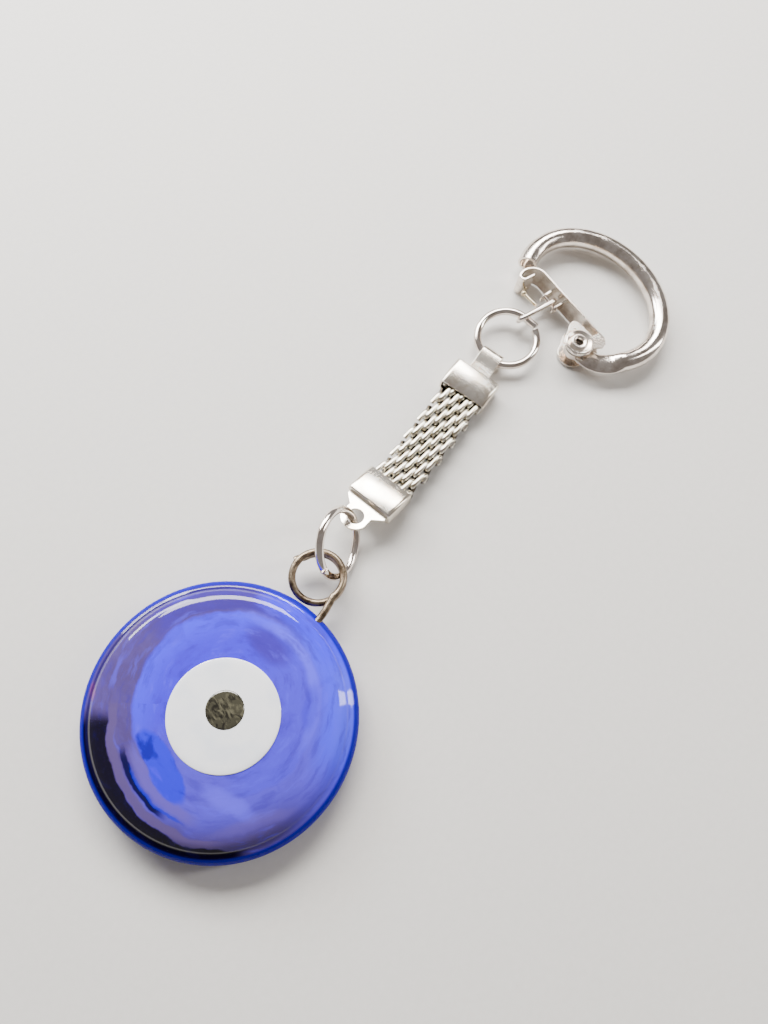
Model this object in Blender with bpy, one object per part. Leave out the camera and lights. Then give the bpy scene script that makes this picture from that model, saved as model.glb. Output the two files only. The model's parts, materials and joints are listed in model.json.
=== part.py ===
"""Evil-eye key chain: a domed glass bead with a wire eyelet, a jump ring, a folded clamp,
a strap of interlocked wire coils, a second clamp and jump ring, an oval link, and a snap
key ring whose tubular D shackle turns on a hollow rivet.

Frame: the origin is the centre of the bead's flat back, +Z up out of the table that the
key chain lies on, +X along its length towards the key ring. Lengths below are millimetres.
"""

import math

import bmesh
import bpy
from mathutils import Matrix, Vector

MM = 0.001

# ---- driving dimensions, in millimetres and degrees ----
BEAD_RADIUS = 22.6
BEAD_HEIGHT = 9.0
BEAD_RIM_HEIGHT = 3.9
DOME_RADIUS = 21.4
DOME_SHOULDER = 6.3
MILKY_RADIUS = 14.2
WHITE_RADIUS = 9.1
PUPIL_RADIUS = 3.1
WHITE_CENTRE = (0.5, -0.6)
PUPIL_CENTRE = (1.14, -0.07)
LAYER_GAP = 0.06
EYE_PROUD = 0.12
PUPIL_PROUD = 0.35
BEAD_SIDES = 48

EYELET_CENTRE = (26.14, 9.6)
EYELET_RADIUS = 4.5
EYELET_WIRE = 1.3
EYELET_TOP = 5.7
EYELET_PITCH = 1.4
EYELET_START = -90.0
EYELET_END = 465.0
EYELET_TAIL_IN_GLASS = (19.6, 2.9, 5.3)

RING_RADIUS = 6.0
RING_WIRE = 1.4
RING_CUT = 4.0

LOWER_RING_CENTRE = (32.47, 12.23, 5.95)
LOWER_RING_HEADING = 41.2
LOWER_RING_SLOPE = 8.0
LOWER_RING_TILT = 59.9
LOWER_RING_AT_TAB = -31.0

CLAMP_LENGTH = 6.2
CLAMP_WIDTH = 9.95
CLAMP_HEIGHT = 3.2
CLAMP_SHEET = 0.38
TAB_LENGTH = 3.5
TAB_SHEET = 0.9
TAB_HOLE_RADIUS = 1.6
TAB_NOSE_RADIUS = 2.75
TAB_PULL = 0.6
LOWER_CLAMP_HEADING = 10.0
LOWER_CLAMP_SLOPE = -8.0
LOWER_CLAMP_ROLL = -11.0

ROW_COUNT = 12
ROW_PITCH = 2.29
ROW_TURNS = 4
TURN_PITCH = 2.1
COIL_LENGTH = 3.72
COIL_HEIGHT = 1.5
COIL_WIRE = 0.5
COIL_SQUARENESS = 0.65
STRAP_HEADING = 17.6
STRAP_TURNING_ROWS = 4
STRAP_LEVELLING_ROWS = 4
ROW_IN_CLAMP = 0.9

TONGUE_WIDTH = 4.4
TONGUE_SHEET = 0.5
TONGUE_REACH = 10.95
TONGUE_CURL_GAP = 0.35
RING_BEHIND_CURL = 0.38
UPPER_RING_HEADING = 12.0
UPPER_RING_SLOPE = 4.6
TONGUE_EYE_HEIGHT = 2.0

LINK_WIRE = 1.0
LINK_HALF_HEIGHT = 1.3
LINK_LEAN = 20.0
LINK_CLEARANCE = 0.16
LINK_ON_RING = 5.0

SNAP_HEIGHT = 2.9
GATE_SHEET = 0.4
GATE_HALF_HEIGHT = 2.5
GATE_OUTER_X = 100.8
GATE_LOW_Y = 15.6
TOP_EAR_JOIN_Y = 17.0
BOTTOM_EAR_JOIN_Y = 21.5
LINK_PIN_RADIUS = 0.4
LINK_PIN_X = 98.35
LINK_PIN_Y = 28.8
LUG_OFFSET = 1.7
LUG_HALF_HEIGHT = 1.2
LUG_REACH_X = 97.7
LINK_PIN_HALF_LENGTH = 2.15
LINK_PIN_FIT = 0.08
HOOK_CENTRE = (97.5, 33.8)
HOOK_END = 112.0
CURL_CENTRE = (96.64, 35.93)
CURL_RADIUS = 0.8
LIP_END = (98.6, 34.95)
PIVOT = (95.8, 17.9)
EAR_RADIUS = 3.0
RIVET_RADIUS = 1.05
RIVET_BORE = 0.65
RIVET_HEAD = 1.9
RIVET_FIT = 0.08

SHACKLE_CENTRE = (106.5, 24.7)
SHACKLE_HALF_LENGTH = 13.1
SHACKLE_HALF_WIDTH = 15.7
SHACKLE_TUBE = 2.0
SHACKLE_BORE = 1.55
SHACKLE_FREE_END = 117.0
SHACKLE_PIVOT_END = -112.0
TAIL_HALF_HEIGHT = 0.7
TAIL_HALF_WIDTH = 1.9
TAIL_EYE_RADIUS = 2.3

SPRING_WIRE = 0.35
SPRING_RADIUS = 1.55
SPRING_PITCH = 0.42
KEEPER_WIRE = 0.5
KEEPER_BALL = 0.6


# ---- materials ----
def material(name, colour, metallic, roughness, transmission=0.0):
    made = bpy.data.materials.new(name)
    made.use_nodes = True
    made.diffuse_color = (*colour, 1.0)
    shader = made.node_tree.nodes["Principled BSDF"]
    shader.inputs["Base Color"].default_value = (*colour, 1.0)
    shader.inputs["Metallic"].default_value = metallic
    shader.inputs["Roughness"].default_value = roughness
    shader.inputs["Transmission Weight"].default_value = transmission
    return made


# ---- mesh helpers, in millimetres, in the piece's own frame ----
def add_object(name, verts, faces, finish, parent, smooth=True):
    """A mesh object under parent, its points given in millimetres in the parent's frame."""
    mesh = bpy.data.meshes.new(name)
    mesh.from_pydata([Vector(v) * MM for v in verts], [], faces)
    bm = bmesh.new()
    bm.from_mesh(mesh)
    bmesh.ops.recalc_face_normals(bm, faces=bm.faces)
    bm.to_mesh(mesh)
    bm.free()
    mesh.materials.append(finish)
    if smooth:
        mesh.shade_smooth()
        mesh.set_sharp_from_angle(angle=math.radians(40))
    made = bpy.data.objects.new(name, mesh)
    bpy.context.collection.objects.link(made)
    made.parent = parent
    return made


def combine(target, other, operation):
    """A Boolean of target with a hidden helper object."""
    other.hide_render = True
    other.display_type = "WIRE"
    cut = target.modifiers.new(f"{operation.lower()} {other.name}", "BOOLEAN")
    cut.operation = operation
    cut.solver = "EXACT"
    cut.object = other


def circle(radius, sides, start=0.0, end=360.0, centre=(0.0, 0.0)):
    """Points of a circle or, where end - start is under 360, of an arc with both ends."""
    whole = abs(end - start) >= 360.0
    steps = sides if whole else sides - 1
    angles = [math.radians(start + (end - start) * i / steps) for i in range(sides)]
    return [
        (centre[0] + radius * math.cos(a), centre[1] + radius * math.sin(a))
        for a in angles
    ]


def prism(name, outline, low, high, finish, parent, smooth=False):
    """An outline in XY, extruded from low to high."""
    count = len(outline)
    verts = [(x, y, low) for x, y in outline] + [(x, y, high) for x, y in outline]
    faces = [tuple(range(count)), tuple(range(count, 2 * count))]
    faces += [(i, (i + 1) % count, count + (i + 1) % count, count + i) for i in range(count)]
    return add_object(name, verts, faces, finish, parent, smooth)


def box(name, low, high, finish, parent):
    outline = [(low[0], low[1]), (high[0], low[1]), (high[0], high[1]), (low[0], high[1])]
    return prism(name, outline, low[2], high[2], finish, parent)


def turned(name, profile, finish, parent, sides=BEAD_SIDES, centre=(0.0, 0.0)):
    """A closed (radius, height) profile turned about +Z; a radius of 0 lies on the axis."""
    verts, rings = [], []
    for radius, height in profile:
        if radius == 0:
            rings.append([len(verts)] * sides)
            verts.append((centre[0], centre[1], height))
        else:
            rings.append([len(verts) + i for i in range(sides)])
            verts += [(x, y, height) for x, y in circle(radius, sides, centre=centre)]
    faces = []
    for this, after in zip(rings, rings[1:] + rings[:1]):
        for i in range(sides):
            j = (i + 1) % sides
            corners = list(dict.fromkeys((this[i], this[j], after[j], after[i])))
            if len(corners) > 2:
                faces.append(tuple(corners))
    return add_object(name, verts, faces, finish, parent)


def swept(name, path, radius, sides, finish, parent, closed=False, bore=None):
    """A round section carried along path without twist; bore makes it an open tube."""
    points = [Vector(p) for p in path]
    count = len(points)
    frames = []
    side = None
    for i, point in enumerate(points):
        ahead = points[(i + 1) % count] if closed or i + 1 < count else point
        behind = points[i - 1] if closed or i else point
        along = (ahead - behind).normalized()
        if side is None:
            side = along.orthogonal()
        side = (side - along * side.dot(along)).normalized()
        frames.append((point, side, along.cross(side)))
    verts = []
    for reach in [radius] + ([bore] if bore else []):
        for point, right, up in frames:
            for k in range(sides):
                turn = math.tau * k / sides
                verts.append(point + reach * (right * math.cos(turn) + up * math.sin(turn)))
    faces = []
    for layer in range(2 if bore else 1):
        first = layer * count * sides
        for i in range(count if closed else count - 1):
            a, b = first + i * sides, first + ((i + 1) % count) * sides
            faces += [
                (a + k, a + (k + 1) % sides, b + (k + 1) % sides, b + k) for k in range(sides)
            ]
    if not closed:
        for end in (0, (count - 1) * sides):
            outer = [end + k for k in range(sides)]
            if bore:
                inner = [count * sides + k for k in outer]
                faces += [
                    (outer[k], outer[(k + 1) % sides], inner[(k + 1) % sides], inner[k])
                    for k in range(sides)
                ]
            else:
                faces.append(tuple(outer))
    return add_object(name, verts, faces, finish, parent)


# ---- frames ----
def heading_frame(origin, heading=0.0, slope=0.0, roll=0.0):
    """A frame at origin whose X is turned by heading about Z, then raised by slope, rolled."""
    return (
        Matrix.Translation(Vector(origin) * MM)
        @ Matrix.Rotation(math.radians(heading), 4, "Z")
        @ Matrix.Rotation(math.radians(-slope), 4, "Y")
        @ Matrix.Rotation(math.radians(roll), 4, "X")
    )


def add_empty(name, world, parent=None):
    made = bpy.data.objects.new(name, None)
    made.empty_display_size = 0.002
    bpy.context.collection.objects.link(made)
    made.parent = parent
    made.matrix_world = world
    bpy.context.view_layer.update()
    return made


def point_in(empty, local):
    """The world position, in millimetres, of a point in an empty's frame."""
    return tuple(empty.matrix_world @ (Vector(local) * MM) / MM)


def in_frame(empty, world_points):
    """World points, in millimetres, as an empty's own coordinates."""
    inverse = empty.matrix_world.inverted()
    return [tuple(inverse @ (Vector(p) * MM) / MM) for p in world_points]


# ---- bead ----
def dome_height(radius):
    """Height of the domed face: an elliptical crown above the shoulder."""
    rise = math.sqrt(max(0.0, 1 - (radius / DOME_RADIUS) ** 2))
    return DOME_SHOULDER + (BEAD_HEIGHT - DOME_SHOULDER) * rise


def dome(radii):
    return [(r, dome_height(r)) for r in radii]


def cut_hole(target, name, radius, centre, floor):
    """A round hole down to floor, through everything of target above it."""
    outline = circle(radius, BEAD_SIDES, centre=centre)
    hole = prism(name, outline, floor, BEAD_HEIGHT + 2, WHITE, target.parent)
    combine(target, hole, "DIFFERENCE")


def make_bead(root):
    pocket = dome_height(MILKY_RADIUS) - 0.9
    rim = [
        (0, 0),
        (19.2, 0),
        (20.9, 0.45),
        (22.0, 1.6),
        (BEAD_RADIUS - 0.1, 2.8),
        (BEAD_RADIUS, BEAD_RIM_HEIGHT),
        (BEAD_RADIUS - 0.25, 5.0),
        (21.9, 5.75),
        (21.4, 6.05),
        (20.9, 6.35),
    ]
    crown = dome([20.0, 18.4, 16.4]) + [(MILKY_RADIUS, dome_height(MILKY_RADIUS))]
    glass = turned(
        "glass_disc", rim + crown + [(MILKY_RADIUS, pocket), (0, pocket)], COBALT, root
    )
    reach = MILKY_RADIUS - LAYER_GAP
    milky = turned(
        "milky_layer",
        [(0, pocket + LAYER_GAP), (reach, pocket + LAYER_GAP), (reach, dome_height(reach))]
        + dome([11.7, 8.0, 4.0, 0]),
        MILKY,
        root,
    )
    floor = dome_height(WHITE_RADIUS) - 0.6
    cut_hole(milky, "white_pocket", WHITE_RADIUS, WHITE_CENTRE, floor)
    reach = WHITE_RADIUS - LAYER_GAP
    white = turned(
        "white_eye",
        [(0, floor + LAYER_GAP), (reach, floor + LAYER_GAP)]
        + [(reach, dome_height(reach) + EYE_PROUD)]
        + [(r, dome_height(r) + EYE_PROUD) for r in (6.0, 3.0, 0)],
        WHITE,
        root,
        centre=WHITE_CENTRE,
    )
    cut_hole(white, "pupil_hole", PUPIL_RADIUS, PUPIL_CENTRE, floor - 1)
    reach = PUPIL_RADIUS - LAYER_GAP
    top = BEAD_HEIGHT + PUPIL_PROUD
    turned(
        "pupil",
        [(0, floor + LAYER_GAP), (reach, floor + LAYER_GAP)]
        + [(reach, top - 0.25), (1.6, top - 0.06), (0, top)],
        BLACK,
        root,
        sides=24,
        centre=PUPIL_CENTRE,
    )
    return glass


def eyelet_path():
    """The wire's tail in the glass, then one and a half turns that wind downwards."""
    turns = []
    steps = 34
    for i in range(steps + 1):
        angle = EYELET_START + (EYELET_END - EYELET_START) * i / steps
        turn = math.radians(angle)
        drop = EYELET_PITCH * (angle - EYELET_START) / 360
        spread = EYELET_RADIUS + (0.8 * max(0.0, angle - 445) / 20)
        turns.append(
            (
                EYELET_CENTRE[0] + spread * math.cos(turn),
                EYELET_CENTRE[1] + spread * math.sin(turn),
                EYELET_TOP - drop,
            )
        )
    first = turns[0]
    tail = EYELET_TAIL_IN_GLASS
    leads = [
        tuple(tail[k] + (first[k] - tail[k]) * share for k in range(3)) for share in (0, 0.35, 0.7)
    ]
    return [(x, y - 0.25 * (i == 2), z) for i, (x, y, z) in enumerate(leads)] + turns


def make_eyelet(root, glass):
    path = eyelet_path()
    swept("eyelet_wire", path, EYELET_WIRE / 2, 8, BRONZE, root)
    start, onward = Vector(path[0]), Vector(path[2])
    deeper = start + (start - onward).normalized() * 0.2
    socket = swept(
        "eyelet_socket", [deeper, onward], EYELET_WIRE / 2 + 0.12, 8, BRONZE, root
    )
    combine(glass, socket, "DIFFERENCE")


# ---- jump rings ----
def ring_path(cut_at):
    """A ring in its own XY plane, centred on the origin, with a narrow saw cut."""
    steps = 26
    turns = [cut_at + RING_CUT / 2 + (360 - RING_CUT) * i / steps for i in range(steps + 1)]
    return [
        (RING_RADIUS * math.cos(math.radians(a)), RING_RADIUS * math.sin(math.radians(a)), 0)
        for a in turns
    ]


def make_ring(name, empty, world, cut_at):
    """A jump ring whose plane is the XY plane of the frame world."""
    placed = [tuple(world @ (Vector(p) * MM) / MM) for p in ring_path(cut_at)]
    return swept(name, in_frame(empty, placed), RING_WIRE / 2, 8, CHROME, empty)


# ---- clamps ----
def clamp_sleeve(name, empty, mouth_x, facing):
    """A folded sleeve open at mouth_x, towards +X where facing is 1 and -X where it is -1."""
    half_width, half_height = CLAMP_WIDTH / 2, CLAMP_HEIGHT / 2
    corner = 0.7
    outline = [
        (half_width - corner, -half_height),
        (half_width, -half_height + corner),
        (half_width, half_height - corner),
        (half_width - corner, half_height),
        (-half_width + corner, half_height),
        (-half_width, half_height - corner),
        (-half_width, -half_height + corner),
        (-half_width + corner, -half_height),
    ]
    back = mouth_x - facing * CLAMP_LENGTH
    verts = [(x, y, z) for x in (mouth_x, back) for y, z in outline]
    count = len(outline)
    faces = [tuple(range(count)), tuple(range(count, 2 * count))]
    faces += [(i, (i + 1) % count, count + (i + 1) % count, count + i) for i in range(count)]
    sleeve = add_object(name, verts, faces, CHROME, empty, smooth=False)
    wall = CLAMP_SHEET
    ends = sorted((mouth_x + facing, back + facing * wall))
    hollow = box(
        f"{name}_hollow",
        (ends[0], -half_width + wall, -half_height + wall),
        (ends[1], half_width - wall, half_height - wall),
        CHROME,
        empty,
    )
    combine(sleeve, hollow, "DIFFERENCE")
    return sleeve


def shift(points, x, y=0.0, z=0.0):
    return [(p[0] + x, p[1] + y, p[2] + z) for p in points]


def make_lower_clamp(empty, mouth_x):
    """The clamp's frame has its origin on the ring's wire and +X towards the strap."""
    sleeve = clamp_sleeve("lower_clamp", empty, mouth_x, 1)
    step = mouth_x - CLAMP_LENGTH
    half = CLAMP_WIDTH / 2 - 0.4
    outline = (
        [(step + 1.0, -half), (step + 1.0, half), (step - 0.3, half), (step - 1.1, half - 1.3)]
        + circle(TAB_NOSE_RADIUS, 9, 105, 255, (TAB_PULL, 0))
        + [(step - 1.1, 1.3 - half), (step - 0.3, -half)]
    )
    tab = prism(
        "lower_clamp_tab", outline, -TAB_SHEET / 2, TAB_SHEET / 2, CHROME, empty
    )
    combine(sleeve, tab, "UNION")
    rim = circle(TAB_HOLE_RADIUS, 20, centre=(TAB_PULL, 0))
    hole = prism("lower_clamp_hole", rim, -1.5, 1.5, CHROME, empty)
    combine(sleeve, hole, "DIFFERENCE")


def tongue_profile(reach, eye_z):
    """Side view of the folded tongue as (x, z): out over the ring's wire and back under it."""
    inner = RING_WIRE / 2 + TONGUE_CURL_GAP
    outer = inner + TONGUE_SHEET
    back = CLAMP_LENGTH - 0.2
    over = [(reach + outer * c, eye_z + outer * s) for c, s in circle(1, 9, 90, -90)]
    under = [(reach + inner * c, eye_z + inner * s) for c, s in circle(1, 13, -90, 172)]
    heel = reach - inner - 0.7
    return (
        [(back, eye_z + 0.65), (heel, eye_z + 0.65)]
        + over
        + [(heel, eye_z - outer), (heel, eye_z - inner)]
        + under
        + [(back, eye_z + 0.146)]
    )


def make_upper_clamp(empty, mouth_x, eye_z):
    """The clamp's frame has its origin on the strap's last hinge and +X towards the ring."""
    sleeve = clamp_sleeve("upper_clamp", empty, mouth_x, -1)
    profile = tongue_profile(TONGUE_REACH, eye_z)
    half = TONGUE_WIDTH / 2
    verts = [(x + mouth_x, y, z) for y in (-half, half) for x, z in profile]
    count = len(profile)
    faces = [tuple(range(count)), tuple(range(count, 2 * count))]
    faces += [(i, (i + 1) % count, count + (i + 1) % count, count + i) for i in range(count)]
    tongue = add_object("upper_clamp_tongue", verts, faces, CHROME, empty, smooth=False)
    combine(sleeve, tongue, "UNION")


# ---- strap ----
def coil_path(row):
    """One flattened coil across the strap, centred on the row's own origin.

    Alternate rows start half a turn on, so that each row's bends hook round the next row's.
    """
    steps = 10
    power = COIL_SQUARENESS
    points = []
    for i in range(ROW_TURNS * steps + 1):
        turn = math.tau * i / steps + math.pi * (row % 2)
        c, s = math.cos(turn), math.sin(turn)
        points.append(
            (
                COIL_LENGTH / 2 * math.copysign(abs(c) ** power, c),
                TURN_PITCH * (i / steps - ROW_TURNS / 2),
                COIL_HEIGHT / 2 * math.copysign(abs(s) ** power, s),
            )
        )
    return points


def make_row(row, empty, offset):
    """A strap row whose centre is offset along X from its hinge's empty."""
    name = f"strap_row_{row:02d}"
    swept(name, shift(coil_path(row), offset), COIL_WIRE / 2, 6, STEEL, empty)


def row_heading(row):
    share = min(1.0, row / STRAP_TURNING_ROWS)
    return LOWER_CLAMP_HEADING + (STRAP_HEADING - LOWER_CLAMP_HEADING) * share


def row_slope(row):
    return LOWER_CLAMP_SLOPE * max(0.0, 1 - row / STRAP_LEVELLING_ROWS)


def row_roll(row):
    return LOWER_CLAMP_ROLL * (1 - row / (ROW_COUNT - 1))


# ---- connector link ----
def link_path(length):
    """An oval in the XZ plane: two straight runs and two half-round ends, from x 0 to length."""
    r = LINK_HALF_HEIGHT
    far = [(length - r + r * c, 0, r * s) for c, s in circle(1, 9, -90, 90)]
    near = [(r + r * c, 0, r * s) for c, s in circle(1, 9, 90, 270)]
    return far + near


# ---- snap key ring ----
def sides_of(line, half):
    """The left and right edges, in plan, of a strip of the given half width along line."""
    left, right = [], []
    for i, (x, y) in enumerate(line):
        ahead = line[min(i + 1, len(line) - 1)]
        behind = line[max(i - 1, 0)]
        along = Vector((ahead[0] - behind[0], ahead[1] - behind[1])).normalized()
        left.append((x - along.y * half, y + along.x * half))
        right.append((x + along.y * half, y - along.x * half))
    return left, right


def gate_wall():
    """Plan outline of the gate's one wall, which ends in a hook with a curled-in lip."""
    middle_x = GATE_OUTER_X - GATE_SHEET / 2
    line = (
        [(middle_x, GATE_LOW_Y)]
        + circle(middle_x - HOOK_CENTRE[0], 10, 0, HOOK_END, HOOK_CENTRE)
        + circle(CURL_RADIUS, 6, HOOK_END + 20, 262, CURL_CENTRE)
        + [LIP_END]
    )
    left, right = sides_of(line, GATE_SHEET / 2)
    return right + left[::-1]


def gate_ear(joined_up_to):
    """Plan outline of one ear and the plate that joins it to the wall, up to the given y."""
    inside_x = GATE_OUTER_X - 0.05
    return (
        circle(EAR_RADIUS, 13, 118, 298, PIVOT)
        + [(98.9, 14.2), (100.0, 14.5), (inside_x, GATE_LOW_Y), (inside_x, joined_up_to)]
        + [(98.9, joined_up_to + 0.5), (98.75, 22.6), (98.2, 23.0), (96.9, 22.0)]
    )


def make_gate(empty):
    """A wall on edge, an ear at its top and bottom, and two lugs bent in to hold the pin."""
    top, floor = GATE_HALF_HEIGHT, -GATE_HALF_HEIGHT

    def layer(name, outline, low, high):
        local = in_frame(empty, [(x, y, SNAP_HEIGHT) for x, y in outline])
        return prism(name, [(x, y) for x, y, _ in local], low, high, CHROME, empty)

    def lug(name, y):
        low_y, high_y = y - GATE_SHEET / 2, y + GATE_SHEET / 2
        far_x = GATE_OUTER_X - GATE_SHEET / 2
        outline = [(LUG_REACH_X, low_y), (far_x, low_y), (far_x, high_y), (LUG_REACH_X, high_y)]
        return layer(name, outline, -LUG_HALF_HEIGHT, LUG_HALF_HEIGHT)

    gate = layer("gate", gate_wall(), floor + 0.1, top)
    parts = [
        layer("gate_bottom_ear", gate_ear(BOTTOM_EAR_JOIN_Y), floor, floor + GATE_SHEET),
        layer("gate_top_ear", gate_ear(TOP_EAR_JOIN_Y), top - GATE_SHEET, top - 0.04),
        lug("gate_low_lug", LINK_PIN_Y - LUG_OFFSET),
        lug("gate_high_lug", LINK_PIN_Y + LUG_OFFSET),
    ]
    for part in parts:
        combine(gate, part, "UNION")
    bore = layer(
        "gate_bore", circle(RIVET_RADIUS + RIVET_FIT, 20, centre=PIVOT), floor - 1, top + 1
    )
    combine(gate, bore, "DIFFERENCE")
    pin_bore = pin_shape("gate_pin_bore", empty, 1.0, LINK_PIN_FIT)
    combine(gate, pin_bore, "DIFFERENCE")


def pin_shape(name, empty, longer=0.0, wider=0.0):
    """The pin that the link turns on, or with more length and radius the holes for it."""
    half = LINK_PIN_HALF_LENGTH + longer
    ends = [(LINK_PIN_X, LINK_PIN_Y + y, SNAP_HEIGHT) for y in (-half, half)]
    return swept(name, in_frame(empty, ends), LINK_PIN_RADIUS + wider, 10, CHROME, empty)


def make_keeper_wire(empty):
    route = [(96.6, 34.5, 2.8), (95.9, 34.2, 2.8), (95.45, 33.5, 2.8), (95.4, 30.4, 3.0)]
    wire = swept("keeper_wire", in_frame(empty, route), KEEPER_WIRE / 2, 8, BRASS, empty)
    steps = 8
    arc = [math.pi * i / steps for i in range(steps + 1)]
    profile = [(max(0.0, KEEPER_BALL * math.sin(a)), 2.75 - KEEPER_BALL * math.cos(a)) for a in arc]
    profile[0] = (0, profile[0][1])
    profile[-1] = (0, profile[-1][1])
    x, y, z = in_frame(empty, [(95.45, 33.65, 0)])[0]
    ball = turned(
        "keeper_ball", [(r, h + z) for r, h in profile[::-1]], BRASS, empty, 10, (x, y)
    )
    combine(wire, ball, "UNION")


def make_rivet(empty):
    """A hollow rivet on the pivot, in the gate's frame, flanged over both ears."""
    top = GATE_HALF_HEIGHT + 0.02
    x, y, _ = in_frame(empty, [(*PIVOT, 0)])[0]
    turned(
        "hinge_rivet",
        [
            (RIVET_BORE, -top - 0.2),
            (RIVET_HEAD - 0.25, -top - 0.25),
            (RIVET_HEAD, -top - 0.03),
            (RIVET_RADIUS, -top),
            (RIVET_RADIUS, top),
            (RIVET_HEAD, top + 0.03),
            (RIVET_HEAD - 0.25, top + 0.25),
            (RIVET_BORE, top + 0.2),
        ],
        CHROME,
        empty,
        20,
        (x, y),
    )


def make_spring(empty):
    """A two-turn torsion spring round the rivet, between the shackle's tail and the top ear."""
    base = SNAP_HEIGHT + TAIL_HALF_HEIGHT + 0.1 + SPRING_WIRE / 2
    steps = 24
    coil = []
    for i in range(steps + 1):
        turn = math.radians(-60 + 720 * i / steps)
        coil.append(
            (
                PIVOT[0] + SPRING_RADIUS * math.cos(turn),
                PIVOT[1] + SPRING_RADIUS * math.sin(turn),
                base + 2 * SPRING_PITCH * i / steps,
            )
        )
    first, last = coil[0], coil[-1]
    lower_leg = (first[0] - 2.2, first[1] - 1.6, first[2])
    upper_leg = (last[0] + 2.6, last[1] + 2.4, last[2])
    path = [lower_leg] + coil + [upper_leg]
    swept("gate_spring", in_frame(empty, path), SPRING_WIRE / 2, 5, STEEL, empty)


def shackle_path():
    steps = 34
    path = []
    for i in range(steps + 1):
        turn = math.radians(
            SHACKLE_FREE_END + (SHACKLE_PIVOT_END - SHACKLE_FREE_END) * i / steps
        )
        path.append(
            (
                SHACKLE_CENTRE[0] + SHACKLE_HALF_LENGTH * math.cos(turn),
                SHACKLE_CENTRE[1] + SHACKLE_HALF_WIDTH * math.sin(turn),
                SNAP_HEIGHT,
            )
        )
    return path + [(100.2, 10.3, SNAP_HEIGHT), (99.0, 10.65, SNAP_HEIGHT)]


def make_shackle(empty):
    shackle = swept(
        "shackle",
        in_frame(empty, shackle_path()),
        SHACKLE_TUBE,
        14,
        CHROME,
        empty,
        bore=SHACKLE_BORE,
    )
    spine = [(101.6, 10.1), (99.0, 10.7), (97.2, 12.0), (96.3, 13.8), (95.95, 15.6)]
    left, right = sides_of(spine, TAIL_HALF_WIDTH)
    eye = circle(TAIL_EYE_RADIUS, 11, 215, -35, PIVOT)
    outline = [(x, y, 0) for x, y in left + eye + right[::-1]]
    local = in_frame(empty, outline)
    tail = prism(
        "shackle_tail",
        [(x, y) for x, y, _ in local],
        -TAIL_HALF_HEIGHT,
        TAIL_HALF_HEIGHT,
        CHROME,
        empty,
    )
    combine(shackle, tail, "UNION")
    bore = circle(RIVET_RADIUS + RIVET_FIT, 20)
    combine(shackle, prism("shackle_bore", bore, -1, 1, CHROME, empty), "DIFFERENCE")


# ---- assembly ----
for old in list(bpy.data.objects):
    bpy.data.objects.remove(old)

COBALT = material("cobalt_glass", (0.005, 0.012, 0.32), 0.0, 0.05, 0.6)
MILKY = material("milky_blue_glass", (0.16, 0.22, 0.85), 0.0, 0.1)
WHITE = material("white_glass", (0.9, 0.92, 0.93), 0.0, 0.12)
BLACK = material("black_glass", (0.03, 0.03, 0.025), 0.0, 0.1)
BRONZE = material("dull_bronze_wire", (0.2, 0.15, 0.09), 0.9, 0.42)
CHROME = material("nickel_plate", (0.78, 0.75, 0.71), 1.0, 0.14)
STEEL = material("mesh_wire", (0.7, 0.68, 0.62), 1.0, 0.25)
BRASS = material("worn_brass_wire", (0.6, 0.52, 0.36), 1.0, 0.3)

bead = add_empty("bead", Matrix.Identity(4))
glass_disc = make_bead(bead)
make_eyelet(bead, glass_disc)

lower_ring_plane = heading_frame(
    LOWER_RING_CENTRE, LOWER_RING_HEADING, LOWER_RING_SLOPE, LOWER_RING_TILT
)
chain_heading = math.degrees(
    math.atan2(
        LOWER_RING_CENTRE[1] - EYELET_CENTRE[1], LOWER_RING_CENTRE[0] - EYELET_CENTRE[0]
    )
)
toward_chain = math.radians(chain_heading)
eyelet_far_side = (
    EYELET_CENTRE[0] + EYELET_RADIUS * math.cos(toward_chain),
    EYELET_CENTRE[1] + EYELET_RADIUS * math.sin(toward_chain),
    EYELET_TOP - EYELET_PITCH * 0.8,
)
lower_ring = add_empty(
    "lower_ring_swing", heading_frame(eyelet_far_side, chain_heading), bead
)
make_ring("lower_jump_ring", lower_ring, lower_ring_plane, 150.0)

at_tab = math.radians(LOWER_RING_AT_TAB)
tab_wire = lower_ring_plane @ (
    Vector((RING_RADIUS * math.cos(at_tab), RING_RADIUS * math.sin(at_tab), 0)) * MM
)
lower_clamp = add_empty(
    "lower_clamp_turn",
    heading_frame(
        tuple(tab_wire / MM), LOWER_CLAMP_HEADING, LOWER_CLAMP_SLOPE, LOWER_CLAMP_ROLL
    ),
    lower_ring,
)
lower_mouth = TAB_PULL + TAB_LENGTH + CLAMP_LENGTH
make_lower_clamp(lower_clamp, lower_mouth)
make_row(0, lower_clamp, lower_mouth - ROW_IN_CLAMP)

hinge_at = point_in(lower_clamp, (lower_mouth - ROW_IN_CLAMP + ROW_PITCH / 2, 0, 0))
carrier = lower_clamp
for number in range(1, ROW_COUNT - 1):
    row_frame = heading_frame(
        hinge_at, row_heading(number), row_slope(number), row_roll(number)
    )
    carrier = add_empty(f"strap_hinge_{number:02d}", row_frame, carrier)
    make_row(number, carrier, ROW_PITCH / 2)
    hinge_at = point_in(carrier, (ROW_PITCH, 0, 0))

upper_clamp = add_empty(
    "upper_clamp_hinge", heading_frame(hinge_at, STRAP_HEADING), carrier
)
upper_mouth = ROW_PITCH / 2 - ROW_IN_CLAMP
make_row(ROW_COUNT - 1, upper_clamp, ROW_PITCH / 2)
tongue_eye = TONGUE_EYE_HEIGHT - hinge_at[2]
make_upper_clamp(upper_clamp, upper_mouth, tongue_eye)

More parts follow.
